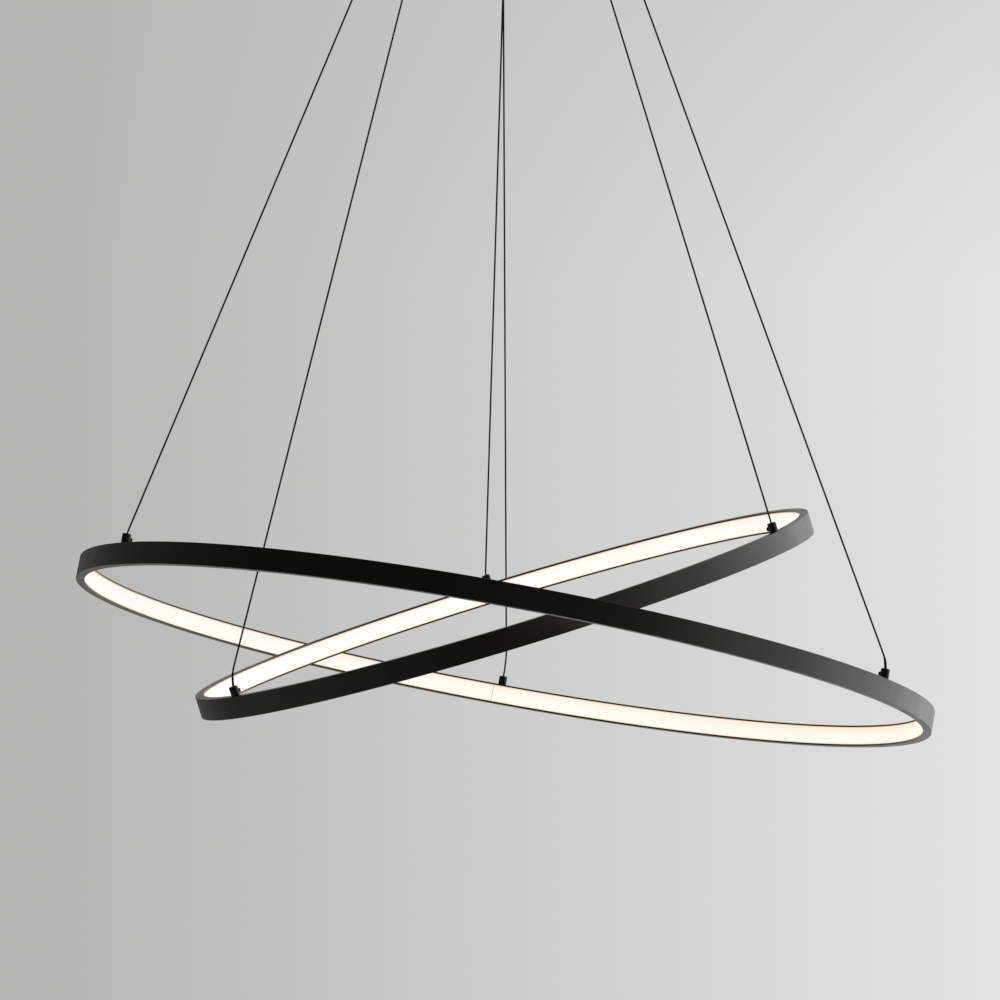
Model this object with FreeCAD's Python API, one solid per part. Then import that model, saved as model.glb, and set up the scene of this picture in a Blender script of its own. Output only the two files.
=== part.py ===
import FreeCAD, Part
import math
import os

# Two tilted light rings hung by thin cables from one ceiling canopy.
# Millimetres. Origin: centre of the canopy on the ceiling plane. +Z up, +Y away from the viewer.

V = FreeCAD.Vector
X_AXIS = V(1, 0, 0)
Y_AXIS = V(0, 1, 0)
Z_AXIS = V(0, 0, 1)
ORIGIN = V(0, 0, 0)

# Rings: outer radius, depth of the centre below the ceiling, its offset to the right, slopes to right and back,
# where the grips stand, how far each channel joint is from its grip, where the cables enter the ceiling grips,
# how far above its grip each cable bends, and how far on it bends a second time (0: it bends once).
LARGE = {
    "name": "large",
    "radius": 400.0,
    "drop": 805.9,
    "offset": 1.6,
    "tilt": 10.4,
    "roll": -8.37,
    "grip_angles": (208.4, 326.8, 89.05),
    "seam_arcs": (8.3, 6.0, 8.3),
    "exit_radius": 85.0,
    "exit_angles": (210.0, 330.0, 90.0),
    "bends": (0.5, 0.5, 16.0),
    "leads": (0.0, 9.0, 0.0),
}
SMALL = {
    "name": "small",
    "radius": 295.0,
    "drop": 772.1,
    "offset": 1.4,
    "tilt": -16.87,
    "roll": 3.06,
    "grip_angles": (210.8, 330.1, 91.7),
    "seam_arcs": (8.5, 4.6, 8.5),
    "exit_radius": 61.3,
    "exit_angles": (208.0, 329.0, 86.0),
    "bends": (0.5, 0.5, 0.5),
    "leads": (12.5, 0.0, 0.0),
}
SIDES = ("left", "right", "rear")
FULL_TURN = 360.0

# Ring channel, seen in section: a U open to the ring's centre.
channel_height = 20.0
channel_depth = 8.0
channel_wall = 1.2
channel_flange = 1.6
seam_gap = 0.15

# Diffuser pressed between the channel's lips, and the LED strip behind it.
diffuser_thickness = 1.6
diffuser_recess = 0.3
diffuser_play = 0.05
diffuser_seam_gap = 0.4
strip_width = 10.0
strip_thickness = 0.4
strip_tape = 0.5
strip_end_gap = 4.0

# Splice tongue across each butt joint, under the top flange.
tongue_width = 4.2
tongue_thickness = 1.8
tongue_before = 8.0
tongue_after = 14.0
tongue_side_play = 0.3

# Cable grip on the ring: barrel, stud below it, clamp screw on the side that faces the ring's centre.
grip_radius = 4.0
grip_height = 8.7
grip_floor = 1.4
grip_mouth_radius = 2.0
grip_mouth_depth = 2.5
grip_stud_radius = 1.45
grip_stud_play = 0.05
screw_radius = 2.0
screw_play = 0.05
screw_proud = 1.6
screw_level = 3.9

# Suspension cable.
cable_radius = 0.8
cable_hole_play = 0.2
cable_corner_below_tip = 12.0
arc_share = 0.45

# Canopy cover.
canopy_radius = 115.0
canopy_height = 34.0
canopy_wall = 1.2
canopy_bevel = 2.5
side_screw_level = 9.0

# Ceiling bracket.
plate_thickness = 2.0
strap_width = 26.0
tab_width = 22.0
tab_drop = 14.0
tab_clear = 0.25
tray_half_length = 66.0
tray_front = -20.0
tray_back = 50.0
tongue_half_length = 28.0
tongue_front = -56.0
slot_spacing = 168.0
slot_length = 16.0
slot_width = 5.2
mains_hole_radius = 6.0
mains_hole_y = -28.0

# Drivers and terminal block on the bracket's tray.
driver_length = 100.0
driver_width = 28.0
driver_height = 18.0
driver_bevel = 2.0
driver_tab_length = 9.0
driver_tab_width = 14.0
driver_tab_thickness = 2.5
driver_rows = {"large": 0.0, "small": 33.0}
block_length = 34.0
block_width = 12.0
block_height = 13.0
block_y = -46.0
block_poles = 3
block_pitch = 10.0
block_opening = 4.0
block_opening_depth = 5.0
block_wire_level = 6.0
block_ear_length = 6.0
block_ear_thickness = 3.0

# Thumb screws that hold the cover to the bracket.
side_screw_radius = 1.95
side_screw_play = 0.05
side_screw_head_radius = 5.0
side_screw_head_length = 7.0
side_screw_inside = 3.0

# Ceiling cable grip: hexagonal body below the canopy, stud through it, crimp on the cable's end.
holder_across_flats = 10.0
holder_length = 12.0
holder_stud_radius = 2.95
holder_stud_play = 0.05
holder_stud_inside = 5.0
crimp_radius = 1.7
crimp_length = 4.0

# Worked out from the sizes above.
canopy_floor = -canopy_height
floor_inside = canopy_floor + canopy_wall
holder_tip = canopy_floor - holder_length
stud_top = floor_inside + holder_stud_inside
cable_corner_z = holder_tip - cable_corner_below_tip
plate_bottom = -plate_thickness
half_height = channel_height / 2
mouth_half_height = half_height - channel_flange
grip_top = half_height + grip_height
cable_hole_radius = cable_radius + cable_hole_play

made = {}


def save(name, shape):
    made[name] = shape


def polar(radius, angle, z):
    a = math.radians(angle)
    return V(radius * math.cos(a), radius * math.sin(a), z)


def cylinder(radius, length, base, axis=Z_AXIS):
    return Part.makeCylinder(radius, length, base, axis)


def box(low, high):
    size = high - low
    return Part.makeBox(size.x, size.y, size.z, low)


def fused(first, *others):
    shape = first
    for other in others:
        shape = shape.fuse(other)
    return shape.removeSplitter()


def group(shapes):
    return Part.makeCompound(list(shapes))


def turned(points, sweep=FULL_TURN, start=0.0):
    """A section given as (radius, z) points, turned about Z."""
    corners = [V(r, 0, z) for r, z in points]
    face = Part.Face(Part.makePolygon(corners + corners[:1]))
    face.rotate(ORIGIN, Z_AXIS, start)
    return face.revolve(ORIGIN, Z_AXIS, sweep)


def arc_angle(arc, radius):
    return math.degrees(arc / radius)


def place_of(ring):
    turn = FreeCAD.Rotation(Y_AXIS, ring["tilt"]).multiply(FreeCAD.Rotation(X_AXIS, ring["roll"]))
    return FreeCAD.Placement(V(ring["offset"], 0, -ring["drop"]), turn)


def hung(shape, ring):
    """Moves a shape made about the ring's own centre to where the ring hangs."""
    moved = shape.copy()
    moved.transformShape(place_of(ring).toMatrix())
    return moved


def node(ring, name):
    return ring["name"] + "_" + name


# ---------------------------------------------------------------- rings

def joint_angles(ring):
    pairs = zip(ring["grip_angles"], ring["seam_arcs"])
    return [angle + arc_angle(arc, ring["radius"]) for angle, arc in pairs]


def channel_section(ring):
    outer = ring["radius"]
    inner = outer - channel_depth
    back = outer - channel_wall
    return [
        (outer, -half_height),
        (outer, half_height),
        (inner, half_height),
        (inner, mouth_half_height),
        (back, mouth_half_height),
        (back, -mouth_half_height),
        (inner, -mouth_half_height),
        (inner, -half_height),
    ]


def make_channel(ring):
    """Three rolled lengths of channel that meet beside the grips."""
    section = channel_section(ring)
    left, right, rear = joint_angles(ring)
    spans = {"front": (left, right), "right": (right, rear + FULL_TURN), "left": (rear, left)}
    gap = arc_angle(seam_gap, ring["radius"])
    middle = ring["radius"] - channel_depth / 2
    hole_radius = grip_stud_radius + grip_stud_play
    for name, (start, end) in spans.items():
        length = turned(section, end - start - gap, start + gap / 2)
        for angle in ring["grip_angles"]:
            hole = cylinder(hole_radius, channel_height / 2, polar(middle, angle, 0))
            length = length.cut(hole)
        save(node(ring, "channel_" + name), hung(length, ring))


def make_diffuser(ring):
    inner = ring["radius"] - channel_depth + diffuser_recess
    outer = inner + diffuser_thickness
    half = mouth_half_height - diffuser_play
    gap = arc_angle(diffuser_seam_gap, inner)
    start = joint_angles(ring)[2] + gap / 2
    strip = turned([(inner, -half), (outer, -half), (outer, half), (inner, half)], FULL_TURN - gap, start)
    save(node(ring, "diffuser"), hung(strip, ring))


def make_led_strip(ring):
    outer = ring["radius"] - channel_wall - strip_tape
    inner = outer - strip_thickness
    half = strip_width / 2
    gap = arc_angle(strip_end_gap, outer)
    start = joint_angles(ring)[2] + gap / 2
    strip = turned([(inner, -half), (outer, -half), (outer, half), (inner, half)], FULL_TURN - gap, start)
    save(node(ring, "led_strip"), hung(strip, ring))


def make_tongues(ring):
    """Curved plates that bridge the butt joints under the top flange and take the grips' studs."""
    outer = ring["radius"] - channel_wall - tongue_side_play
    inner = outer - tongue_width
    top = mouth_half_height
    bottom = top - tongue_thickness
    section = [(inner, bottom), (outer, bottom), (outer, top), (inner, top)]
    middle = ring["radius"] - channel_depth / 2
    before = arc_angle(tongue_before, middle)
    hole_radius = grip_stud_radius + grip_stud_play
    tongues = []
    for angle, arc in zip(ring["grip_angles"], ring["seam_arcs"]):
        span = before + arc_angle(arc + tongue_after, middle)
        plate = turned(section, span, angle - before)
        hole = cylinder(hole_radius, tongue_thickness, polar(middle, angle, bottom))
        tongues.append(plate.cut(hole))
    save(node(ring, "splice_tongues"), hung(group(tongues), ring))


def make_ring_grips(ring):
    """Turned grips screwed to the top rim, with the clamp screw in the side of each."""
    floor = half_height + grip_floor
    stud_end = mouth_half_height - tongue_thickness
    level = half_height + screw_level
    middle = ring["radius"] - channel_depth / 2
    grip = turned([
        (0, stud_end),
        (grip_stud_radius, stud_end),
        (grip_stud_radius, half_height),
        (grip_radius, half_height),
        (grip_radius, grip_top),
        (grip_mouth_radius, grip_top),
        (cable_hole_radius, grip_top - grip_mouth_depth),
        (cable_hole_radius, floor),
        (0, floor),
    ])
    inward = V(-1, 0, 0)
    grip = grip.cut(cylinder(screw_radius + screw_play, grip_radius, V(0, 0, level), inward))
    tip = V(-cable_radius - screw_play, 0, level)
    screw = cylinder(screw_radius, grip_radius + screw_proud - cable_radius - screw_play, tip, inward)
    for name, shape in (("ring_grips", grip), ("clamp_screws", screw)):
        copies = []
        for angle in ring["grip_angles"]:
            one = shape.copy()
            one.rotate(ORIGIN, Z_AXIS, angle)
            one.translate(polar(middle, angle, 0))
            copies.append(one)
        save(node(ring, name), hung(group(copies), ring))


# --------------------------------------------------------------- cables

def cable_points(ring, i):
    """Corners of one cable: floor of its ring grip, bends above the grip, below the ceiling grip, its end."""
    middle = ring["radius"] - channel_depth / 2
    angle = ring["grip_angles"][i]
    place = place_of(ring)
    floor = place.multVec(polar(middle, angle, half_height + grip_floor))
    bend = place.multVec(polar(middle, angle, grip_top + ring["bends"][i]))
    below = polar(ring["exit_radius"], ring["exit_angles"][i], cable_corner_z)
    end = polar(ring["exit_radius"], ring["exit_angles"][i], stud_top)
    if ring["leads"][i] == 0:
        return [floor, bend, below, end]
    out = (bend - floor).normalize()
    up = (below - bend).normalize()
    second = bend + (out + up).normalize() * ring["leads"][i]
    return [floor, bend, second, below, end]


def rounded_route(points):
    """Straight runs joined by tangent arcs, the radius of each arc, and the length along them."""
    edges = []
    radii = []
    here = points[0]
    for before, corner, after in zip(points, points[1:], points[2:]):
        back = before - corner
        ahead = after - corner
        shorter = min(back.Length, ahead.Length)
        turn = math.pi - back.getAngle(ahead)
        reach = arc_share * shorter
        radius = reach / math.tan(turn / 2)
        back.normalize()
        ahead.normalize()
        enter = corner + back * reach
        leave = corner + ahead * reach
        inward = (back + ahead).normalize()
        middle = corner + inward * (radius / math.cos(turn / 2) - radius)
        edges.append(Part.LineSegment(here, enter).toShape())
        edges.append(Part.Arc(enter, middle, leave).toShape())
        radii.append(radius)
        here = leave
    edges.append(Part.LineSegment(here, points[-1]).toShape())
    return edges, radii


def tube(edges, radius):
    """A round tube along a chain of edges."""
    wire = Part.Wire(edges)
    first = edges[0]
    start = first.valueAt(first.FirstParameter)
    along = first.tangentAt(first.FirstParameter)
    ring_edge = Part.Wire(Part.makeCircle(radius, start, along))
    return wire.makePipeShell([ring_edge], True, False)


def make_cables(ring):
    for i, side in enumerate(SIDES):
        edges, radii = rounded_route(cable_points(ring, i))
        cable = tube(edges, cable_radius)
        length = sum(e.Length for e in edges)
        share = cable.Volume / (math.pi * cable_radius ** 2 * length)
        name = node(ring, "cable_" + side)
        bends = [round(r, 1) for r in radii]
        print(name, "length", round(length, 1), "bend radii", bends, "volume share", round(share, 5))
        save(name, cable)


# --------------------------------------------------------------- canopy

def exits(ring):
    return [polar(ring["exit_radius"], angle, 0) for angle in ring["exit_angles"]]


def make_cover():
    """A spun pan: bevelled lower edge, holes for the cable grips and the two thumb screws."""
    inside = canopy_radius - canopy_wall
    cover = turned([
        (0, canopy_floor),
        (canopy_radius - canopy_bevel, canopy_floor),
        (canopy_radius, canopy_floor + canopy_bevel),
        (canopy_radius, 0),
        (inside, 0),
        (inside, floor_inside),
        (0, floor_inside),
    ])
    for place in exits(LARGE) + exits(SMALL):
        hole = cylinder(holder_stud_radius + holder_stud_play, canopy_wall, place + V(0, 0, canopy_floor))
        cover = cover.cut(hole)
    for way in (1, -1):
        start = V(way * (inside - canopy_wall), 0, -side_screw_level)
        hole = cylinder(side_screw_radius + side_screw_play, 3 * canopy_wall, start, V(way, 0, 0))
        cover = cover.cut(hole)
    save("canopy_cover", cover)


def tab_face():
    """How far out the bracket's tabs reach inside the round cover."""
    inside = canopy_radius - canopy_wall
    return math.sqrt(inside ** 2 - (tab_width / 2) ** 2) - tab_clear


def slot_cutter(centre_x):
    run = (slot_length - slot_width) / 2
    slot = box(V(centre_x - run, -slot_width / 2, plate_bottom), V(centre_x + run, slot_width / 2, 0))
    for end in (-run, run):
        slot = slot.fuse(cylinder(slot_width / 2, plate_thickness, V(centre_x + end, 0, plate_bottom)))
    return slot.removeSplitter()


def make_bracket():
    """One folded sheet: strap with slots and end tabs, tray for the drivers, tongue for the mains side."""
    reach = tab_face()
    strap = box(V(-reach, -strap_width / 2, plate_bottom), V(reach, strap_width / 2, 0))
    tray = box(V(-tray_half_length, tray_front, plate_bottom), V(tray_half_length, tray_back, 0))
    tongue = box(V(-tongue_half_length, tongue_front, plate_bottom), V(tongue_half_length, 0, 0))
    bracket = fused(strap, tray, tongue)
    for way in (1, -1):
        tab = box(V(-plate_thickness, -tab_width / 2, -tab_drop), V(0, tab_width / 2, plate_bottom))
        tab.translate(V(reach, 0, 0))
        if way < 0:
            tab = tab.mirror(ORIGIN, X_AXIS)
        bracket = fused(bracket, tab)
        start = V(way * (reach - 2 * plate_thickness), 0, -side_screw_level)
        hole = cylinder(side_screw_radius + side_screw_play, 3 * plate_thickness, start, V(way, 0, 0))
        bracket = bracket.cut(hole)
        bracket = bracket.cut(slot_cutter(way * slot_spacing / 2))
    bracket = bracket.cut(cylinder(mains_hole_radius, plate_thickness, V(0, mains_hole_y, plate_bottom)))
    save("ceiling_bracket", bracket)


def make_drivers():
    for name, y in driver_rows.items():
        low = plate_bottom - driver_height
        case = box(
            V(-driver_length / 2, y - driver_width / 2, low),
            V(driver_length / 2, y + driver_width / 2, plate_bottom),
        )
        case = case.makeChamfer(driver_bevel, [e for e in case.Edges if abs(e.CenterOfMass.z - low) < 1e-6])
        end = driver_length / 2 + driver_tab_length
        tabs = box(
            V(-end, y - driver_tab_width / 2, plate_bottom - driver_tab_thickness),
            V(end, y + driver_tab_width / 2, plate_bottom),
        )
        save("driver_" + name, fused(case, tabs))


def make_terminal_block():
    """Screw terminal: a square wire opening on each side of every pole and a screw well below it."""
    low = plate_bottom - block_height
    front = block_y - block_width / 2
    back = block_y + block_width / 2
    block = box(V(-block_length / 2, front, low), V(block_length / 2, back, plate_bottom))
    end = block_length / 2 + block_ear_length
    ears = box(V(-end, front, plate_bottom - block_ear_thickness), V(end, back, plate_bottom))
    block = fused(block, ears)
    half = block_opening / 2
    level = low + block_wire_level
    for i in range(block_poles):
        x = (i - (block_poles - 1) / 2) * block_pitch
        wire_in = box(V(x - half, front, level), V(x + half, front + block_opening_depth, level + block_opening))
        wire_out = box(V(x - half, back - block_opening_depth, level), V(x + half, back, level + block_opening))
        screw_well = box(V(x - half, block_y - half, low), V(x + half, block_y + half, low + block_opening))
        block = block.cut(wire_in).cut(wire_out).cut(screw_well)
    save("terminal_block", block)


def make_side_screws():
    """Thumb screws that hold the cover to the bracket's tabs."""
    screws = []
    for way in (1, -1):
        out = V(way, 0, 0)
        inner_end = V(way * (tab_face() - plate_thickness - side_screw_inside), 0, -side_screw_level)
        seat = V(way * canopy_radius, 0, -side_screw_level)
        shank = cylinder(side_screw_radius, (seat - inner_end).Length, inner_end, out)
        head = cylinder(side_screw_head_radius, side_screw_head_length, seat, out)
        screws.append(fused(shank, head))
    save("canopy_side_screws", group(screws))


# -------------------------------------------------- ceiling cable grips

def make_holder():
    """Hexagonal cable grip with its stud, made at the origin."""
    corner = holder_across_flats / math.sqrt(3)
    points = [polar(corner, 60.0 * i, holder_tip) for i in range(7)]
    body = Part.Face(Part.makePolygon(points)).extrude(V(0, 0, holder_length))
    stud = cylinder(holder_stud_radius, stud_top - canopy_floor, V(0, 0, canopy_floor))
    bore = cylinder(cable_hole_radius, stud_top - holder_tip, V(0, 0, holder_tip))
    return fused(body, stud).cut(bore)


def make_ceiling_grips():
    holder = make_holder()
    crimp = cylinder(crimp_radius, crimp_length, V(0, 0, stud_top))
    crimps = []
    for ring in (LARGE, SMALL):
        holders = []
        for angle, place in zip(ring["exit_angles"], exits(ring)):
            for shape, found in ((holder, holders), (crimp, crimps)):
                one = shape.copy()
                one.rotate(ORIGIN, Z_AXIS, angle)
                one.translate(place)
                found.append(one)
        save(node(ring, "ceiling_grips"), group(holders))
    save("cable_crimps", group(crimps))


def make_ring(ring):
    make_channel(ring)
    make_diffuser(ring)
    make_led_strip(ring)
    make_tongues(ring)
    make_ring_grips(ring)
    make_cables(ring)


make_cover()
make_bracket()
make_drivers()
make_terminal_block()
make_side_screws()
make_ceiling_grips()
make_ring(LARGE)
make_ring(SMALL)

os.makedirs("parts", exist_ok=True)
for part_name, part_shape in made.items():
    part_shape.exportStep(os.path.join("parts", part_name + ".step"))
print(len(made), "nodes")
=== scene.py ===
import math

import bmesh
import bpy
from mathutils import Matrix, Vector


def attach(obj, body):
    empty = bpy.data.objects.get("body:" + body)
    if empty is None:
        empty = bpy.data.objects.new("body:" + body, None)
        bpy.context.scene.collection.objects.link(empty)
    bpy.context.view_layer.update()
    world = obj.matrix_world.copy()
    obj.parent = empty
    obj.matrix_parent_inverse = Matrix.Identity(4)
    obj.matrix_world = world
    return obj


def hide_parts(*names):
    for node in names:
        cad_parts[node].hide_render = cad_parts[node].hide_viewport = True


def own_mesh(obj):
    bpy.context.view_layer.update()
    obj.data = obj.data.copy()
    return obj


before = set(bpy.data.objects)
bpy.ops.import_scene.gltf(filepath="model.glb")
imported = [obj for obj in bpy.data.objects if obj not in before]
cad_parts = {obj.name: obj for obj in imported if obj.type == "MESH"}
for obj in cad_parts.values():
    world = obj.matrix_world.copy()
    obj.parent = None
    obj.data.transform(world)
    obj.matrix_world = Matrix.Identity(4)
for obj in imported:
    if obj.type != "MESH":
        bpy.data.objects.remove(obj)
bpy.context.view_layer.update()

# Sizes in metres, angles in degrees. The object's are the part's own unless a comment says otherwise.
MM = 0.001

# Rings: how far the height joint moves, outer radius, depth of the centre below the ceiling, its offset to
# the right, slopes to right and back, where the grips stand, how far each channel joint is from its grip,
# where the cables enter the ceiling grips, how far above its grip each cable bends, and how far on it bends
# a second time (0: it bends once). Only the scene has the rest: how far each sleeve reaches above its grip
# (0: no sleeve), the sleeve's radius at the grip, how much painted light makes the glow creamier to the
# right, and how much painted shade makes it weaker to the left.
LARGE = {
    "name": "large",
    "body": "ring_large",
    "joint": "large_ring_height",
    "travel": 0.2,
    "radius": 400.0 * MM,
    "drop": 805.9 * MM,
    "offset": 1.6 * MM,
    "tilt": 10.4,
    "roll": -8.37,
    "grip_angles": (208.4, 326.8, 89.05),
    "seam_arcs": (8.3 * MM, 6.0 * MM, 8.3 * MM),
    "exit_radius": 85.0 * MM,
    "exit_angles": (210.0, 330.0, 90.0),
    "bends": (0.5 * MM, 0.5 * MM, 16.0 * MM),
    "leads": (0.0, 9.0 * MM, 0.0),
    "sleeves": (0.0, 9.5 * MM, 0.0),
    "sleeve_radius": 1.25 * MM,
    # Painted light makes the glow creamier to the right, and painted shade dims it to the left.
    "painted_warmth": 1.0,
    "painted_left_shade": 0.1,
}
SMALL = {
    "name": "small",
    "body": "ring_small",
    "joint": "small_ring_height",
    "travel": 0.08,
    "radius": 295.0 * MM,
    "drop": 772.1 * MM,
    "offset": 1.4 * MM,
    "tilt": -16.87,
    "roll": 3.06,
    "grip_angles": (210.8, 330.1, 91.7),
    "seam_arcs": (8.5 * MM, 4.6 * MM, 8.5 * MM),
    "exit_radius": 61.3 * MM,
    "exit_angles": (208.0, 329.0, 86.0),
    "bends": (0.5 * MM, 0.5 * MM, 0.5 * MM),
    "leads": (12.5 * MM, 0.0, 0.0),
    "sleeves": (12.5 * MM, 0.0, 0.0),
    "sleeve_radius": 1.08 * MM,
    # Painted light makes the glow creamier to the right, and painted shade dims it to the left.
    "painted_warmth": 0.25,
    "painted_left_shade": 0.0,
}
RINGS = (LARGE, SMALL)
SIDES = ("left", "right", "rear")

# Ring channel, seen in section: a U open to the ring's centre. The joints between its lengths are narrower
# than the part's, because the photo hardly shows them. Only the scene eases the edges and slopes the ends.
CHANNEL_HEIGHT = 20.0 * MM
CHANNEL_DEPTH = 8.0 * MM
CHANNEL_WALL = 1.2 * MM
CHANNEL_FLANGE = 1.6 * MM
SEAM_GAP = 0.03 * MM
EDGE_RADIUS = 0.35 * MM
END_SLOPE = 0.05 * MM

# An edge is eased in this many steps, over no more than this share of a side. A side longer than LONG_SIDE
# radii has a point FLAT_FROM radii from each of its corners, so that what lies between is shaded flat.
CORNER_STEPS = 3
CORNER_SHARE = 0.45
LONG_SIDE = 5
FLAT_FROM = 2.2

# Diffuser between the channel's lips. Only the scene gives it a crown.
DIFFUSER_THICKNESS = 1.6 * MM
DIFFUSER_RECESS = 0.3 * MM
DIFFUSER_PLAY = 0.05 * MM
DIFFUSER_SEAM_GAP = 0.4 * MM
DIFFUSER_CROWN = 0.28 * MM
CROWN_POWER = 4
DIFFUSER_STEPS = 22

# Channel and diffuser are swept round the ring in steps of this angle.
SWEEP_STEP = 0.75

# The painted shade that dims the diffuser's glow starts this share of the radius to the left of the centre.
PAINTED_SHADE_FROM = 0.55

# Cable grip on the ring: barrel and stud. Its hole and mouth are wider than the part's, and the hole is
# deeper by its play. That leaves room for the sleeves, and for the cables when the joints shorten them.
GRIP_RADIUS = 4.0 * MM
GRIP_HEIGHT = 8.7 * MM
GRIP_FLOOR = 1.4 * MM
GRIP_FLOOR_PLAY = 0.3 * MM
GRIP_HOLE_RADIUS = 1.75 * MM
GRIP_MOUTH_RADIUS = 2.3 * MM
GRIP_MOUTH_DEPTH = 2.5 * MM
GRIP_STUD_RADIUS = 1.45 * MM
GRIP_SEGMENTS = 40
TONGUE_THICKNESS = 1.8 * MM
# Its turned details, which only the scene has. Mouth: out from the mouth's radius and down from the top.
# Rim: in from the side and down from the top. Groove: in from the side and up from the foot.
GRIP_MOUTH_EDGE = ((-0.05 * MM, 0.2 * MM), (0.1 * MM, 0.0))
GRIP_RIM = ((0.55 * MM, 0.0), (0.16 * MM, 0.14 * MM), (0.0, 0.5 * MM))
GRIP_GROOVE = (
    (0.0, 0.9 * MM),
    (0.1 * MM, 0.75 * MM),
    (0.3 * MM, 0.7 * MM),
    (0.3 * MM, 0.45 * MM),
    (0.0, 0.4 * MM),
)

# Clamp screw on the side of the grip that faces the ring's centre. The scene's is a short end with a socket
# and an eased rim, seated a little way into the barrel. The part's is plain and reaches the cable.
SCREW_RADIUS = 2.0 * MM
SCREW_PROUD = 1.6 * MM
SCREW_LEVEL = 3.9 * MM
SCREW_SEAT = 0.4 * MM
SCREW_EASE = 0.3 * MM
SCREW_SEGMENTS = 36
SOCKET_RADIUS = 0.8 * MM
SOCKET_DEPTH = 1.2 * MM
SOCKET_RIM_SHARE = 1.12
EASE_SHARE = 0.3

# Suspension cables, and the sleeves round two of them, which only the scene has.
CABLE_RADIUS = 0.8 * MM
CABLE_CORNER_Z = -58.0 * MM
CABLE_END_Z = -27.8 * MM
CABLE_SEGMENTS = 16
CABLE_SPLINE_ORDER = 3
CABLE_SPLINE_STEPS = 20
SLEEVE_INSIDE = 1.0 * MM
SLEEVE_TAPER = 0.15 * MM
SLEEVE_SEGMENTS = 24

# Worked out from the sizes above.
HALF_HEIGHT = CHANNEL_HEIGHT / 2
MOUTH = HALF_HEIGHT - CHANNEL_FLANGE
GRIP_TOP = HALF_HEIGHT + GRIP_HEIGHT

# Camera: level, in front of the rings. Its sensor and lens are in millimetres, as the camera takes them.
CAMERA_PLACE = (-2.6 * MM, -4.4, -0.668)
CAMERA_SENSOR = 36.0
CAMERA_LENS = 171.457
CAMERA_REACH = 100.0

# Shading turns sharp where two faces meet at more than this angle.
SHARP_ANGLE = 35.0

# Noise in the materials mostly stays between these two values.
NOISE_LOW = 0.3
NOISE_HIGH = 0.7

# Floor, far below the view, and the point that the softboxes face.
FLOOR_RADIUS = 12.0
FLOOR_Z = -6.0
FLOOR_SEGMENTS = 96
FLOOR_GLOW = 0.3
LIGHT_TARGET = Vector((0, 0, -0.7))

# Backdrop: the edges of the camera's view on a scale from 0 at -X to 1 at +X, and its greys at them. The
# dark room keeps a small share of them, and the diffuse light has one plain level.
VIEW_LEFT = 0.4475
VIEW_RIGHT = 0.5525
GREY_LEFT = (0.449, 0.454, 0.445)
GREY_RIGHT_LOW = (0.761, 0.761, 0.757)
GREY_RIGHT_HIGH = (0.672, 0.675, 0.670)
DARK_ROOM = (0.08, 0.08, 0.075)
PLAIN_LIGHT = (0.36, 0.36, 0.37, 1)


def polar(radius, angle, z):
    a = math.radians(angle)
    return Vector((radius * math.cos(a), radius * math.sin(a), z))


def turn_about(axis, angle):
    return Matrix.Rotation(math.radians(angle), 4, axis)


def place_of(ring):
    """Where the ring's own frame hangs: rolled, tilted, then dropped."""
    hang = Matrix.Translation((ring["offset"], 0, -ring["drop"]))
    return hang @ turn_about("Y", ring["tilt"]) @ turn_about("X", ring["roll"])


# ---------------------------------------------------------------- camera

camera = bpy.data.objects.new("camera", bpy.data.cameras.new("camera"))
bpy.context.scene.collection.objects.link(camera)
camera.location = CAMERA_PLACE
camera.rotation_euler = (math.radians(90), 0, 0)
camera.data.sensor_width = CAMERA_SENSOR
camera.data.lens = CAMERA_LENS
camera.data.clip_end = CAMERA_REACH
bpy.context.scene.camera = camera


# ------------------------------------------------------------- materials

def new_material(name):
    material = bpy.data.materials.new(name)
    material.use_nodes = True
    tree = material.node_tree
    return material, tree, tree.nodes["Principled BSDF"]


def object_coords(tree):
    return tree.nodes.new("ShaderNodeTexCoord").outputs["Object"]


def attribute(tree, name):
    """A value that the mesh's vertices carry."""
    node = tree.nodes.new("ShaderNodeAttribute")
    node.attribute_name = name
    return node.outputs["Fac"]


def noise(tree, coords, scale, detail=4.0, roughness=0.5):
    node = tree.nodes.new("ShaderNodeTexNoise")
    node.inputs["Scale"].default_value = scale
    node.inputs["Detail"].default_value = detail
    node.inputs["Roughness"].default_value = roughness
    tree.links.new(coords, node.inputs["Vector"])
    return node.outputs["Fac"]


def cells(tree, coords, scale):
    """Distance to the middle of the nearest of many small cells."""
    node = tree.nodes.new("ShaderNodeTexVoronoi")
    node.inputs["Scale"].default_value = scale
    tree.links.new(coords, node.inputs["Vector"])
    return node.outputs["Distance"]


def ramp(tree, value, stops):
    """A colour ramp: stops are (position, colour)."""
    node = tree.nodes.new("ShaderNodeValToRGB")
    elements = node.color_ramp.elements
    while len(elements) < len(stops):
        elements.new(0.5)
    for element, (position, colour) in zip(elements, stops):
        element.position = position
        element.color = (*colour, 1)
    tree.links.new(value, node.inputs["Fac"])
    return node.outputs["Color"]


def mottled(tree, coords, scale, dark, light):
    """A colour that drifts between two shades."""
    return ramp(tree, noise(tree, coords, scale), [(NOISE_LOW, dark), (NOISE_HIGH, light)])


def spread(tree, value, low, high, from_low=NOISE_LOW, from_high=NOISE_HIGH):
    """Maps a value from one range to another."""
    node = tree.nodes.new("ShaderNodeMapRange")
    node.inputs["From Min"].default_value = from_low
    node.inputs["From Max"].default_value = from_high
    node.inputs["To Min"].default_value = low
    node.inputs["To Max"].default_value = high
    tree.links.new(value, node.inputs["Value"])
    return node.outputs["Result"]


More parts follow.
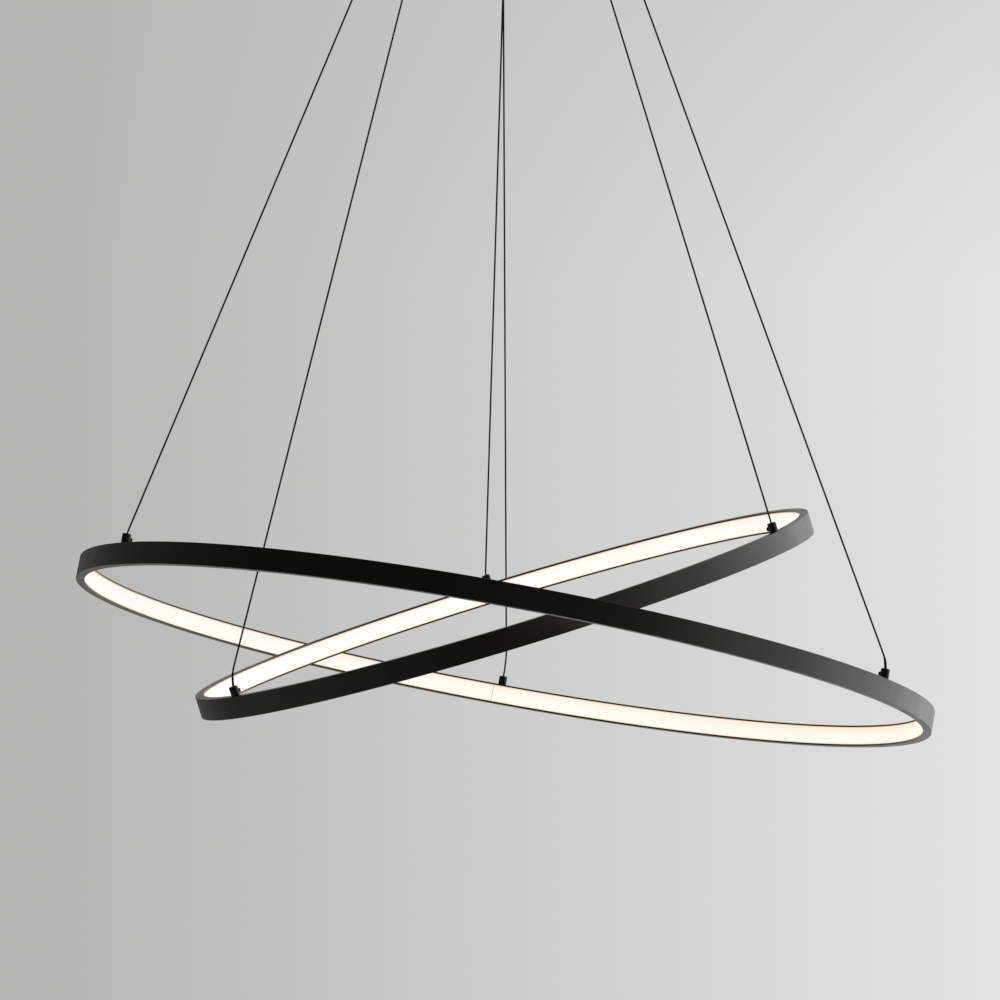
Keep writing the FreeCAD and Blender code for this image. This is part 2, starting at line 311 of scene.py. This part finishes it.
def bump(tree, height, shader, distance, strength, under=None):
    """Bump on the shader, on top of the bump called under, where there is one."""
    node = tree.nodes.new("ShaderNodeBump")
    node.inputs["Strength"].default_value = strength
    node.inputs["Distance"].default_value = distance
    tree.links.new(height, node.inputs["Height"])
    if under is not None:
        tree.links.new(under, node.inputs["Normal"])
    tree.links.new(node.outputs["Normal"], shader.inputs["Normal"])
    return node.outputs["Normal"]


def math_node(tree, operation, a, b):
    node = tree.nodes.new("ShaderNodeMath")
    node.operation = operation
    for socket, value in zip(node.inputs, (a, b)):
        if isinstance(value, float):
            socket.default_value = value
        else:
            tree.links.new(value, socket)
    return node.outputs[0]


def mix(tree, factor, a, b, blend="MIX"):
    """Mixes two colours; each input is a number, a colour or another node's output."""
    node = tree.nodes.new("ShaderNodeMix")
    node.data_type = "RGBA"
    node.blend_type = blend
    sockets = {s.identifier: s for s in node.inputs}
    for key, value in (("Factor_Float", factor), ("A_Color", a), ("B_Color", b)):
        if isinstance(value, (int, float)):
            sockets[key].default_value = value
        elif isinstance(value, tuple):
            sockets[key].default_value = (*value, 1)
        else:
            tree.links.new(value, sockets[key])
    return {s.identifier: s for s in node.outputs}["Result_Color"]


def powder_coat():
    """Fine black powder coat on aluminium: soft orange peel, slight mottling, lighter patches on the edges.
    """
    material, tree, shader = new_material("powder_black")
    coords = object_coords(tree)
    patches = noise(tree, coords, 14.0, detail=5.0)
    grains = noise(tree, coords, 2600.0, detail=2.0)
    colour = ramp(tree, patches, [
        (NOISE_LOW, (0.0068, 0.0060, 0.0046)),
        (NOISE_HIGH, (0.0115, 0.0103, 0.0082)),
    ])
    specks = ramp(tree, grains, [(0.62, (0.0, 0.0, 0.0)), (0.78, (0.008, 0.008, 0.008))])
    colour = mix(tree, 1.0, colour, specks, "ADD")
    # The eased edges are painted a lighter grey in patches, where the noise is high.
    blotches = noise(tree, coords, 60.0, detail=6.0, roughness=0.65)
    edge_patches = spread(tree, blotches, 0.0, 0.75, from_low=0.5, from_high=0.72)
    lighter_edge = math_node(tree, "MULTIPLY", attribute(tree, "edge"), edge_patches)
    colour = mix(tree, lighter_edge, colour, (0.05, 0.046, 0.04))
    tree.links.new(colour, shader.inputs["Base Color"])
    tree.links.new(spread(tree, noise(tree, coords, 35.0), 0.28, 0.36), shader.inputs["Roughness"])
    shader.inputs["Specular IOR Level"].default_value = 0.5
    peel = bump(tree, noise(tree, coords, 900.0, detail=3.0), shader, distance=0.03 * MM, strength=0.8)
    bump(tree, grains, shader, distance=0.012 * MM, strength=0.7, under=peel)
    return material


def black_metal():
    """Satin black lacquer over turned metal."""
    material, tree, shader = new_material("satin_black")
    coords = object_coords(tree)
    colour = mottled(tree, coords, 40.0, (0.004, 0.004, 0.004), (0.009, 0.0085, 0.008))
    tree.links.new(colour, shader.inputs["Base Color"])
    tree.links.new(spread(tree, noise(tree, coords, 160.0), 0.28, 0.42), shader.inputs["Roughness"])
    shader.inputs["Specular IOR Level"].default_value = 0.25
    bump(tree, noise(tree, coords, 1800.0, detail=3.0), shader, distance=0.02 * MM, strength=0.8)
    return material


def cable_sheath():
    """Dull black plastic sheath."""
    material, tree, shader = new_material("cable_sheath")
    coords = object_coords(tree)
    colour = mottled(tree, coords, 90.0, (0.003, 0.003, 0.003), (0.006, 0.006, 0.006))
    tree.links.new(colour, shader.inputs["Base Color"])
    tree.links.new(spread(tree, noise(tree, coords, 300.0), 0.4, 0.55), shader.inputs["Roughness"])
    shader.inputs["Specular IOR Level"].default_value = 0.03
    bump(tree, noise(tree, coords, 2500.0, detail=3.0), shader, distance=0.02 * MM, strength=0.8)
    return material


def opal():
    """Lit opal acrylic: white, creamier towards the upper lip, painted shade turning it amber at the lips."""
    material, tree, shader = new_material("opal_lit")
    coords = object_coords(tree)
    across = attribute(tree, "across")
    # Painted shade: both ramps turn the glow amber where it meets the lips.
    white = ramp(tree, across, [
        (0.0, (0.9, 0.6, 0.3)),
        (0.05, (1.0, 0.90, 0.74)),
        (0.13, (1.0, 0.94, 0.90)),
        (0.5, (1.0, 0.94, 0.90)),
        (0.9, (1.0, 0.915, 0.865)),
        (1.0, (0.85, 0.55, 0.32)),
    ])
    cream = ramp(tree, across, [
        (0.0, (0.9, 0.58, 0.28)),
        (0.05, (1.0, 0.88, 0.66)),
        (0.13, (1.0, 0.925, 0.845)),
        (0.45, (1.0, 0.90, 0.815)),
        (0.72, (1.0, 0.845, 0.725)),
        (0.93, (1.0, 0.80, 0.64)),
        (1.0, (0.85, 0.52, 0.28)),
    ])
    # Painted light: the glow mixes creamier towards the ring's right side.
    glow = mix(tree, attribute(tree, "painted_warmth"), white, cream)
    tree.links.new(glow, shader.inputs["Emission Color"])
    cloudy = spread(tree, noise(tree, coords, 9.0, detail=3.0), 0.96, 1.03)
    # Painted shade: the level dims the glow towards the ring's left side.
    strength = math_node(tree, "MULTIPLY", cloudy, attribute(tree, "level"))
    tree.links.new(strength, shader.inputs["Emission Strength"])
    unlit = mottled(tree, coords, 25.0, (0.13, 0.125, 0.12), (0.16, 0.155, 0.15))
    tree.links.new(unlit, shader.inputs["Base Color"])
    shader.inputs["Roughness"].default_value = 0.55
    shader.inputs["Specular IOR Level"].default_value = 0.3
    bump(tree, noise(tree, coords, 700.0, detail=2.0), shader, distance=0.02 * MM, strength=0.6)
    return material


def zinc():
    """Zinc plate with fine spangles."""
    material, tree, shader = new_material("zinc_plate")
    coords = object_coords(tree)
    spangle = cells(tree, coords, 140.0)
    colour = ramp(tree, spangle, [(0.0, (0.50, 0.50, 0.49)), (0.8, (0.66, 0.66, 0.64))])
    tree.links.new(colour, shader.inputs["Base Color"])
    shader.inputs["Metallic"].default_value = 1.0
    tree.links.new(spread(tree, noise(tree, coords, 220.0), 0.3, 0.46), shader.inputs["Roughness"])
    bump(tree, noise(tree, coords, 900.0), shader, distance=0.03 * MM, strength=0.7)
    return material


def white_plastic():
    """Moulded white plastic."""
    material, tree, shader = new_material("white_plastic")
    coords = object_coords(tree)
    colour = mottled(tree, coords, 30.0, (0.70, 0.70, 0.68), (0.77, 0.77, 0.75))
    tree.links.new(colour, shader.inputs["Base Color"])
    tree.links.new(spread(tree, noise(tree, coords, 120.0), 0.42, 0.58), shader.inputs["Roughness"])
    bump(tree, noise(tree, coords, 1500.0, detail=3.0), shader, distance=0.03 * MM, strength=0.8)
    return material


def led_tape():
    """White tape with yellow dots, one for each chip."""
    material, tree, shader = new_material("led_tape")
    dots = cells(tree, object_coords(tree), 110.0)
    colour = ramp(tree, dots, [(0.25, (0.85, 0.62, 0.12)), (0.32, (0.86, 0.86, 0.82))])
    tree.links.new(colour, shader.inputs["Base Color"])
    shader.inputs["Roughness"].default_value = 0.5
    bump(tree, dots, shader, distance=0.1 * MM, strength=0.5)
    return material


MATERIALS = {
    "black_profile": powder_coat(),
    "black_metal": black_metal(),
    "cable": cable_sheath(),
    "diffuser": opal(),
    "zinc_steel": zinc(),
    "white_plastic": white_plastic(),
    "led_strip": led_tape(),
}


# ----------------------------------------------------------------- pieces

def add_piece(name, mesh, body, slot, *nodes):
    """Links a mesh that is already in place, rides it on its body and gives it its slot's material."""
    piece = bpy.data.objects.new(name, mesh)
    bpy.context.scene.collection.objects.link(piece)
    mesh.materials.append(MATERIALS[slot])
    for polygon in mesh.polygons:
        polygon.use_smooth = True
    mesh.set_sharp_from_angle(angle=math.radians(SHARP_ANGLE))
    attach(piece, body)
    if nodes:
        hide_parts(*nodes)
    return piece


def mesh_of(bm, name):
    mesh = bpy.data.meshes.new(name)
    bmesh.ops.recalc_face_normals(bm, faces=bm.faces)
    bm.to_mesh(mesh)
    bm.free()
    return mesh


def join_rows(bm, a, b):
    """Faces between two closed rows of as many vertices."""
    count = len(a)
    for k in range(count):
        n = (k + 1) % count
        bm.faces.new((a[k], a[n], b[n], b[k]))


# Cables: control points in the part's order, as a smooth spline, then a tube along it.

def cable_points(ring, i):
    """From the floor of the ring's grip, round one bend or two, to the end above the ceiling grip."""
    middle = ring["radius"] - CHANNEL_DEPTH / 2
    angle = ring["grip_angles"][i]
    place = place_of(ring)
    floor = place @ polar(middle, angle, HALF_HEIGHT + GRIP_FLOOR)
    bend = place @ polar(middle, angle, GRIP_TOP + ring["bends"][i])
    below = polar(ring["exit_radius"], ring["exit_angles"][i], CABLE_CORNER_Z)
    end = polar(ring["exit_radius"], ring["exit_angles"][i], CABLE_END_Z)
    points = [floor, bend]
    if ring["leads"][i]:
        out = (bend - floor).normalized()
        up = (below - bend).normalized()
        points.append(bend + (out + up).normalized() * ring["leads"][i])
    last = points[-1]
    run = (below - last).normalized()
    points.append(last + run * (last - points[-2]).length)
    points.append(below - run * (end - below).length)
    return points + [below, end]


def spline_path(name, points):
    """Points read from the route's smooth spline."""
    curve = bpy.data.curves.new(name, "CURVE")
    curve.dimensions = "3D"
    curve.resolution_u = CABLE_SPLINE_STEPS
    spline = curve.splines.new("NURBS")
    spline.points.add(len(points) - 1)
    for point, co in zip(spline.points, points):
        point.co = (*co, 1)
    spline.order_u = CABLE_SPLINE_ORDER
    spline.use_endpoint_u = True
    holder = bpy.data.objects.new(name, curve)
    bpy.context.scene.collection.objects.link(holder)
    bpy.context.view_layer.update()
    line = bpy.data.meshes.new_from_object(holder)
    path = [v.co.copy() for v in line.vertices]
    bpy.data.objects.remove(holder)
    bpy.data.curves.remove(curve)
    bpy.data.meshes.remove(line)
    if (path[0] - points[0]).length > (path[-1] - points[0]).length:
        path.reverse()
    return path


def along(path, start, end):
    """The part of a path between two lengths along it."""
    found = []
    gone = 0.0
    for a, b in zip(path, path[1:]):
        step = (b - a).length
        if gone + step > start and not found:
            found.append(a.lerp(b, (start - gone) / step))
        if found and gone + step >= end:
            found.append(a.lerp(b, (end - gone) / step))
            return found
        if found:
            found.append(b)
        gone += step
    return found


def tube_mesh(name, path, segments, radii):
    """A round tube along a path, with a radius at each point.

    Its section is carried along without twist.
    """
    bm = bmesh.new()
    rows = []
    tangent = (path[1] - path[0]).normalized()
    side = tangent.orthogonal().normalized()
    for i, (point, radius) in enumerate(zip(path, radii)):
        before = path[max(i - 1, 0)]
        after = path[min(i + 1, len(path) - 1)]
        turned = (after - before).normalized()
        side = tangent.rotation_difference(turned) @ side
        tangent = turned
        other = tangent.cross(side)
        row = []
        for k in range(segments):
            a = 2 * math.pi * k / segments
            row.append(bm.verts.new(point + (side * math.cos(a) + other * math.sin(a)) * radius))
        rows.append(row)
    for a, b in zip(rows, rows[1:]):
        join_rows(bm, a, b)
    bm.faces.new(list(reversed(rows[0])))
    bm.faces.new(rows[-1])
    return mesh_of(bm, name)


def sleeve_mesh(name, path, ring, reach):
    """A sleeve round the cable, from inside the grip's mouth to its reach above it, thinner to its end."""
    grip_mouth = GRIP_TOP - HALF_HEIGHT - GRIP_FLOOR
    stretch = along(path, grip_mouth - SLEEVE_INSIDE, grip_mouth + reach)
    last = len(stretch) - 1
    radii = [ring["sleeve_radius"] - SLEEVE_TAPER * k / last for k in range(last + 1)]
    return tube_mesh(name, stretch, SLEEVE_SEGMENTS, radii)


def make_cable(ring, i, side):
    """A cable with its sleeve, where it has one."""
    points = cable_points(ring, i)
    node = f"{ring['name']}_cable_{side}"
    path = spline_path(node + "_line", points)
    mesh = tube_mesh(node, path, CABLE_SEGMENTS, [CABLE_RADIUS] * len(path))
    cable = add_piece(node + "_sheath", mesh, "canopy", "cable", node)
    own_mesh(cable)
    if ring["sleeves"][i]:
        name = node + "_sleeve"
        sleeve = add_piece(name, sleeve_mesh(name, path, ring, ring["sleeves"][i]), "canopy", "cable")
        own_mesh(sleeve)


for ring in RINGS:
    for i, side in enumerate(SIDES):
        make_cable(ring, i, side)


# Channels: the U section with eased edges, swept round in three lengths.

def eased(corners, radius):
    """A closed section with its corners rounded; each point carries how much of an edge it is."""
    points = []
    count = len(corners)
    for i in range(count):
        before = Vector(corners[i - 1])
        corner = Vector(corners[i])
        after = Vector(corners[(i + 1) % count])
        back = (before - corner).normalized()
        ahead = (after - corner).normalized()
        r = min(radius, (before - corner).length * CORNER_SHARE, (after - corner).length * CORNER_SHARE)
        if (before - corner).length > r * LONG_SIDE:
            points.append((corner + back * r * FLAT_FROM, 0.0))
        centre = corner + (back + ahead) * r
        for k in range(CORNER_STEPS + 1):
            t = math.pi / 2 * k / CORNER_STEPS
            points.append((centre - ahead * r * math.cos(t) - back * r * math.sin(t), 1.0))
        if (after - corner).length > r * LONG_SIDE:
            points.append((corner + ahead * r * FLAT_FROM, 0.0))
    return points


def band_mesh(name, section, ring, start, end, tapered=None):
    """A section of (r, z) points swept about the ring's axis between two angles, where the ring hangs.

    The section called tapered, where given, closes both ends over a short slope. Each vertex carries what
    the materials read: how much of an edge it is, its height across the mouth, and the painted light and
    painted shade of the glow, which make it creamier to the right and dimmer to the left.
    """
    place = place_of(ring)
    segments = round((end - start) / SWEEP_STEP)
    turns = [(start + (end - start) * k / segments, section) for k in range(segments + 1)]
    if tapered:
        slope = math.degrees(END_SLOPE / ring["radius"])
        turns[0] = (start + slope, section)
        turns[-1] = (end - slope, section)
        turns = [(start, tapered)] + turns + [(end, tapered)]
    bm = bmesh.new()
    edge, across, painted_warmth, level = (
        bm.verts.layers.float.new(key) for key in ("edge", "across", "painted_warmth", "level")
    )
    rows = []
    for angle, outline in turns:
        row = []
        rightness = math.cos(math.radians(angle))
        leftness = max(0.0, -rightness - PAINTED_SHADE_FROM) / (1 - PAINTED_SHADE_FROM)
        for point, lighter_edge in outline:
            vert = bm.verts.new(place @ polar(point.x, angle, point.y))
            vert[edge] = lighter_edge
            vert[across] = 0.5 + point.y / (2 * MOUTH)
            # Painted light makes the glow creamier to the right, and painted shade dims it to the left.
            vert[painted_warmth] = ring["painted_warmth"] * (1 + rightness) / 2
            vert[level] = 1 - ring["painted_left_shade"] * leftness
            row.append(vert)
        rows.append(row)
    for a, b in zip(rows, rows[1:]):
        join_rows(bm, a, b)
    for row in (rows[0], rows[-1]):
        face = bm.faces.new(row)
        bmesh.ops.triangulate(bm, faces=[face])
    return mesh_of(bm, name)


def joint_angles(ring):
    """Where the channel's three lengths meet, in the order of the sides."""
    pairs = zip(ring["grip_angles"], ring["seam_arcs"])
    return [angle + math.degrees(arc / ring["radius"]) for angle, arc in pairs]


def channel_section(ring, inset):
    """The U with eased edges, its surface drawn in by an inset."""
    outer = ring["radius"] - inset
    inner = ring["radius"] - CHANNEL_DEPTH + inset
    back = ring["radius"] - CHANNEL_WALL + inset
    height = HALF_HEIGHT - inset
    mouth = MOUTH + inset
    return eased([
        (outer, -height),
        (outer, height),
        (inner, height),
        (inner, mouth),
        (back, mouth),
        (back, -mouth),
        (inner, -mouth),
        (inner, -height),
    ], EDGE_RADIUS)


def make_channels(ring):
    section = channel_section(ring, 0.0)
    tapered = channel_section(ring, END_SLOPE)
    left, right, rear = joint_angles(ring)
    gap = math.degrees(SEAM_GAP / ring["radius"])
    spans = {"front": (left, right), "right": (right, rear + 360), "left": (rear, left)}
    for side, (start, end) in spans.items():
        node = f"{ring['name']}_channel_{side}"
        mesh = band_mesh(node, section, ring, start + gap / 2, end - gap / 2, tapered)
        channel = add_piece(node + "_coated", mesh, ring["body"], "black_profile", node)
        channel.modifiers.new("weighted", "WEIGHTED_NORMAL").keep_sharp = True


def make_diffuser(ring):
    """Opal strip, crowned a little between the lips, with one seam at the rear."""
    inner = ring["radius"] - CHANNEL_DEPTH + DIFFUSER_RECESS
    outer = inner + DIFFUSER_THICKNESS
    half = MOUTH - DIFFUSER_PLAY
    section = []
    for k in range(DIFFUSER_STEPS + 1):
        z = half - 2 * half * k / DIFFUSER_STEPS
        section.append((Vector((inner - DIFFUSER_CROWN * (1 - (z / half) ** CROWN_POWER), z)), 0.0))
    section += [(Vector((outer, -half)), 0.0), (Vector((outer, half)), 0.0)]
    gap = math.degrees(DIFFUSER_SEAM_GAP / inner)
    start = joint_angles(ring)[2]
    node = f"{ring['name']}_diffuser"
    mesh = band_mesh(node, section, ring, start + gap / 2, start + 360 - gap / 2)
    add_piece(node + "_opal", mesh, ring["body"], "diffuser", node)


# Grips on the rings and their clamp screws.

def lathe_into(bm, profile, matrix):
    """Turns (r, z) points about Z and adds the surface to bm.

    The profile starts and ends on the axis, so the surface is closed.
    """
    rows = []
    for r, z in profile:
        if r == 0:
            rows.append([bm.verts.new(matrix @ Vector((0, 0, z)))])
            continue
        row = []
        for k in range(GRIP_SEGMENTS):
            a = 2 * math.pi * k / GRIP_SEGMENTS
            row.append(bm.verts.new(matrix @ Vector((r * math.cos(a), r * math.sin(a), z))))
        rows.append(row)
    for a, b in zip(rows, rows[1:]):
        for k in range(GRIP_SEGMENTS):
            n = (k + 1) % GRIP_SEGMENTS
            corners = [a[k % len(a)], a[n % len(a)], b[n % len(b)], b[k % len(b)]]
            unique = list(dict.fromkeys(corners))
            if len(unique) > 2:
                bm.faces.new(unique)


def screw_into(bm, matrix):
    """A short round screw end with an eased rim and a hexagonal socket, along +Z of the matrix."""
    def row(r, z, hexagonal=False):
        verts = []
        for k in range(SCREW_SEGMENTS):
            a = 2 * math.pi * k / SCREW_SEGMENTS
            reach = r
            if hexagonal:
                sector = math.pi / 3
                off = (a % sector) - sector / 2
                reach = r * math.cos(sector / 2) / math.cos(off)
            verts.append(bm.verts.new(matrix @ Vector((reach * math.cos(a), reach * math.sin(a), z))))
        return verts

    length = SCREW_PROUD + SCREW_SEAT
    ease = SCREW_EASE
    soft = SCREW_EASE * EASE_SHARE
    rows = [
        row(SCREW_RADIUS, 0),
        row(SCREW_RADIUS, length - ease),
        row(SCREW_RADIUS - soft, length - soft),
        row(SCREW_RADIUS - ease, length),
        row(SOCKET_RADIUS * SOCKET_RIM_SHARE, length),
        row(SOCKET_RADIUS, length - soft, True),
        row(SOCKET_RADIUS, length - SOCKET_DEPTH, True),
    ]
    for a, b in zip(rows, rows[1:]):
        join_rows(bm, a, b)
    bm.faces.new(rows[-1])
    bm.faces.new(list(reversed(rows[0])))


def grip_profile():
    """The grip's (r, z) points: hole, mouth, rim, groove, foot and stud."""
    foot = HALF_HEIGHT
    hole_floor = foot + GRIP_FLOOR - GRIP_FLOOR_PLAY
    stud_end = MOUTH - TONGUE_THICKNESS
    hole_top = GRIP_TOP - GRIP_MOUTH_DEPTH
    hole = [(0, hole_floor), (GRIP_HOLE_RADIUS, hole_floor), (GRIP_HOLE_RADIUS, hole_top)]
    mouth = [(GRIP_MOUTH_RADIUS + out, GRIP_TOP - down) for out, down in GRIP_MOUTH_EDGE]
    rim = [(GRIP_RADIUS - inwards, GRIP_TOP - down) for inwards, down in GRIP_RIM]
    groove = [(GRIP_RADIUS - inwards, foot + up) for inwards, up in GRIP_GROOVE]
    stud = [(GRIP_RADIUS, foot), (GRIP_STUD_RADIUS, foot), (GRIP_STUD_RADIUS, stud_end), (0, stud_end)]
    return hole + mouth + rim + groove + stud


def make_grips(ring):
    middle = ring["radius"] - CHANNEL_DEPTH / 2
    place = place_of(ring)
    profile = grip_profile()
    seat = Matrix.Translation((SCREW_SEAT - GRIP_RADIUS, 0, HALF_HEIGHT + SCREW_LEVEL))
    bodies = bmesh.new()
    screws = bmesh.new()
    for angle in ring["grip_angles"]:
        spot = place @ Matrix.Translation(polar(middle, angle, 0)) @ turn_about("Z", angle)
        lathe_into(bodies, profile, spot)
        screw_into(screws, spot @ seat @ turn_about("Y", -90))
    name = ring["name"]
    barrels = mesh_of(bodies, "grips")
    add_piece(f"{name}_grip_bodies", barrels, ring["body"], "black_metal", f"{name}_ring_grips")
    ends = mesh_of(screws, "screws")
    add_piece(f"{name}_grip_screws", ends, ring["body"], "black_metal", f"{name}_clamp_screws")


for ring in RINGS:
    make_channels(ring)
    make_diffuser(ring)
    make_grips(ring)


# CAD nodes that keep their shape.
KEPT = {
    "ceiling_bracket": "zinc_steel",
    "canopy_cover": "black_metal",
    "canopy_side_screws": "black_metal",
    "driver_large": "white_plastic",
    "driver_small": "white_plastic",
    "terminal_block": "white_plastic",
    "large_ceiling_grips": "black_metal",
    "small_ceiling_grips": "black_metal",
    "cable_crimps": "zinc_steel",
    "large_led_strip": "led_strip",
    "small_led_strip": "led_strip",
    "large_splice_tongues": "zinc_steel",
    "small_splice_tongues": "zinc_steel",
}
for name, slot in KEPT.items():
    for material_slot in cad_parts[name].material_slots:
        material_slot.material = MATERIALS[slot]


# ------------------------------------------------------- floor and lights

def seen_rays(tree):
    """1 for the rays of the camera and of reflections, 0 for those of diffuse light."""
    path = tree.nodes.new("ShaderNodeLightPath")
    either = math_node(tree, "MAXIMUM", path.outputs["Is Camera Ray"], path.outputs["Is Glossy Ray"])
    return math_node(tree, "MAXIMUM", either, path.outputs["Is Transmission Ray"])


def make_floor():
    """A wide pale disc far below the rings."""
    disc = bmesh.new()
    bmesh.ops.create_circle(disc, cap_ends=True, segments=FLOOR_SEGMENTS, radius=FLOOR_RADIUS)
    floor = bpy.data.objects.new("floor", mesh_of(disc, "floor"))
    bpy.context.scene.collection.objects.link(floor)
    floor.location = (0, 0, FLOOR_Z)
    material, tree, shader = new_material("floor")
    shader.inputs["Base Color"].default_value = (0.62, 0.615, 0.6, 1)
    shader.inputs["Emission Color"].default_value = (1, 1, 0.99, 1)
    glow = math_node(tree, "MULTIPLY", seen_rays(tree), FLOOR_GLOW)
    tree.links.new(glow, shader.inputs["Emission Strength"])
    shader.inputs["Roughness"].default_value = 0.9
    shader.inputs["Specular IOR Level"].default_value = 0.2
    floor.data.materials.append(material)


def area_light(name, position, width, height, power):
    """A rectangular softbox that faces the rings, its width level."""
    light = bpy.data.objects.new(name, bpy.data.lights.new(name, "AREA"))
    light.data.shape = "RECTANGLE"
    light.data.size = width
    light.data.size_y = height
    light.data.energy = power
    light.location = position
    light.rotation_mode = "QUATERNION"
    light.rotation_quaternion = (Vector(position) - LIGHT_TARGET).to_track_quat("Z", "Y")
    bpy.context.scene.collection.objects.link(light)


def backdrop(tree, z, sideways):
    """A soft grey that brightens to +X, a little less so higher up."""
    low = ramp(tree, sideways, [(VIEW_LEFT, GREY_LEFT), (VIEW_RIGHT, GREY_RIGHT_LOW)])
    high = ramp(tree, sideways, [(VIEW_LEFT, GREY_LEFT), (VIEW_RIGHT, GREY_RIGHT_HIGH)])
    return mix(tree, spread(tree, z, 0.0, 1.0, from_low=0.045, from_high=0.105), low, high)


def mirrored(tree, x, y, sideways, shown):
    """The backdrop as reflections see it: darker to -X, brighter to +X, and a dark room in front of it."""
    sides = ramp(tree, sideways, [
        (0.0, (0.22, 0.216, 0.21)),
        (0.25, (0.36, 0.355, 0.35)),
        (0.43, (0.42, 0.42, 0.41)),
        (VIEW_LEFT, (1.0, 1.0, 1.0)),
    ])
    studio = mix(tree, 1.0, shown, sides, "MULTIPLY")
    brighter = spread(tree, x, 1.0, 1.25, from_low=0.105, from_high=0.4)
    studio = mix(tree, 1.0, studio, brighter, "MULTIPLY")
    room = mix(tree, 1.0, studio, DARK_ROOM, "MULTIPLY")
    behind = math_node(tree, "MAXIMUM", math_node(tree, "ADD", x, y), math_node(tree, "ADD", y, 0.2))
    return mix(tree, spread(tree, behind, 0.0, 1.0, from_low=-0.22, from_high=0.48), room, studio)


def make_world():
    """Diffuse light is one plain level. The camera sees the backdrop, and reflections see it mirrored."""
    world = bpy.data.worlds.new("studio")
    bpy.context.scene.world = world
    world.use_nodes = True
    tree = world.node_tree
    tree.nodes.clear()
    coords = tree.nodes.new("ShaderNodeTexCoord")
    parts = tree.nodes.new("ShaderNodeSeparateXYZ")
    tree.links.new(coords.outputs["Generated"], parts.inputs[0])
    x, y, z = (parts.outputs[axis] for axis in "XYZ")
    sideways = spread(tree, x, 0.0, 1.0, from_low=-1.0, from_high=1.0)
    shown = backdrop(tree, z, sideways)
    path = tree.nodes.new("ShaderNodeLightPath")
    colour = mix(tree, path.outputs["Is Glossy Ray"], shown, mirrored(tree, x, y, sideways, shown))
    seen = tree.nodes.new("ShaderNodeBackground")
    tree.links.new(colour, seen.inputs["Color"])
    light = tree.nodes.new("ShaderNodeBackground")
    light.inputs["Color"].default_value = PLAIN_LIGHT
    choose = tree.nodes.new("ShaderNodeMixShader")
    tree.links.new(seen_rays(tree), choose.inputs["Fac"])
    tree.links.new(light.outputs[0], choose.inputs[1])
    tree.links.new(seen.outputs[0], choose.inputs[2])
    output = tree.nodes.new("ShaderNodeOutputWorld")
    tree.links.new(choose.outputs[0], output.inputs["Surface"])


make_floor()
area_light("key_right", (2.5, 1.0, -0.5), width=3.2, height=2.8, power=22.0)
area_light("fill_top", (-0.4, -0.4, 2.6), width=2.4, height=2.4, power=8.0)
make_world()
bpy.context.scene.view_settings.view_transform = "Standard"
